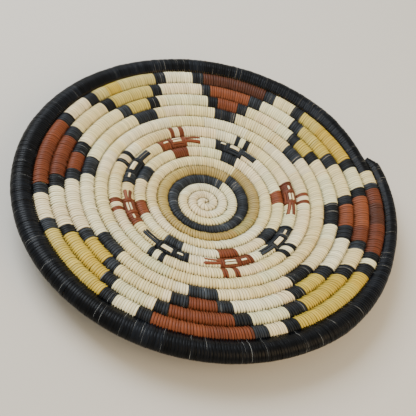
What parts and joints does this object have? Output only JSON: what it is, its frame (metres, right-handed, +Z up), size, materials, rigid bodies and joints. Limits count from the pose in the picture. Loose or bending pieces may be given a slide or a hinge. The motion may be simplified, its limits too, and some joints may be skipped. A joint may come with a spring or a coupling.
{
  "type": "coiled plaque",
  "caption": "Shallow round coiled basketry plaque: one grass bundle sewn edge to edge with natural, black, tan, red and yellow strips into stepped fields and small birds.",
  "frame": {"origin": "under the middle of the plaque, on the surface that it stands on", "axes": "+Z up, out of the shown face; the coil's outer end lies at about 25 degrees from +X towards +Y"},
  "size_m": [0.2956, 0.2946, 0.0297],
  "materials": {
    "natural_strip": "split leaf strip, undyed, satin",
    "black_strip": "split leaf strip, blue-black dye, satin",
    "rim_black_strip": "split leaf strip, black dye, satin",
    "tan_strip": "split leaf strip, sun-tanned, satin",
    "red_strip": "split leaf strip, red-brown dye, satin",
    "yellow_strip": "split leaf strip, yellow dye, satin"
  },
  "bodies": {
    "root": {"ground_coil": "natural_strip", "centre_ring_black": "black_strip", "centre_ring_tan": "tan_strip", "rim_wrap": "rim_black_strip", "terrace_1_colour": "yellow_strip", "terrace_1_outline": "black_strip", "terrace_2_colour": "red_strip", "terrace_2_outline": "black_strip", "terrace_3_colour": "yellow_strip", "terrace_3_outline": "black_strip", "terrace_4_colour": "red_strip", "terrace_4_outline": "black_strip", "terrace_5_colour": "yellow_strip", "terrace_5_outline": "black_strip", "terrace_6_colour": "red_strip", "terrace_6_outline": "black_strip", "terrace_7_colour": "yellow_strip", "terrace_7_outline": "black_strip", "terrace_8_colour": "red_strip", "terrace_8_outline": "black_strip", "bird_1": "black_strip", "bird_2": "red_strip", "bird_3": "black_strip", "bird_4": "red_strip", "bird_5": "black_strip", "bird_6": "red_strip", "bird_7": "black_strip", "bird_8": "red_strip"}
  },
  "joints": []
}
